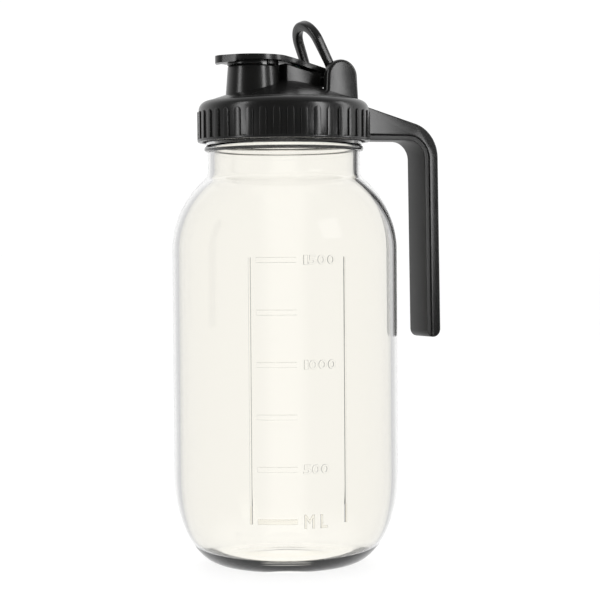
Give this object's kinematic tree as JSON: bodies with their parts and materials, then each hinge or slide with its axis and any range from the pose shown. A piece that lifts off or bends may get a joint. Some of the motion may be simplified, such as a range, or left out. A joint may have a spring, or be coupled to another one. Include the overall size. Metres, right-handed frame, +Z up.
{
  "type": "pitcher jar with handled pour lid",
  "caption": "Tall glass jar with a ribbed screw-on lid that carries a side handle, a pouring spout, a flip cap and a carry loop.",
  "frame": {"origin": "centre of the ring that the jar stands on", "axes": "+Z up along the jar's axis, +X towards the handle, -X towards the spout, Y along the lid's hinge pin"},
  "size_m": [0.1497, 0.1184, 0.2856],
  "materials": {
    "clear_glass": "polished",
    "black_plastic": "satin moulded",
    "grip_plastic": "fine matte",
    "silicone": "matte",
    "steel": "drawn"
  },
  "bodies": {
    "jar": {"glass_jar": "clear_glass"},
    "seal": {"rim_gasket": "silicone"},
    "lid": {"screw_band": "black_plastic", "handle_shell": "black_plastic", "handle_cover": "grip_plastic", "pour_lid": "black_plastic", "hinge_pin": "steel"},
    "cap": {"flip_cap": "black_plastic", "spout_seal": "silicone", "vent_seal": "silicone"},
    "loop": {"carry_loop": "black_plastic"}
  },
  "joints": [
    {"name": "lid_rise", "type": "slide", "parent": "jar", "child": "seal", "axis": [0, 0, 1], "range_m": [0, 0.00794]},
    {"name": "lid_turn", "type": "hinge", "parent": "seal", "child": "lid", "pos_m": [0, 0, 0.2386], "axis": [0, 0, 1], "range_deg": [0, 450]},
    {"name": "cap_hinge", "type": "hinge", "parent": "lid", "child": "cap", "pos_m": [0.0237, 0, 0.2545], "axis": [0, 1, 0], "range_deg": [0, 110]},
    {"name": "loop_hinge", "type": "hinge", "parent": "cap", "child": "loop", "pos_m": [0.0237, 0, 0.2545], "axis": [0, 1, 0], "range_deg": [-15, 15]}
  ],
  "couplings": [
    {"joint": "lid_rise", "follows": "lid_turn", "m_per_rad": 0.0010106}
  ]
}
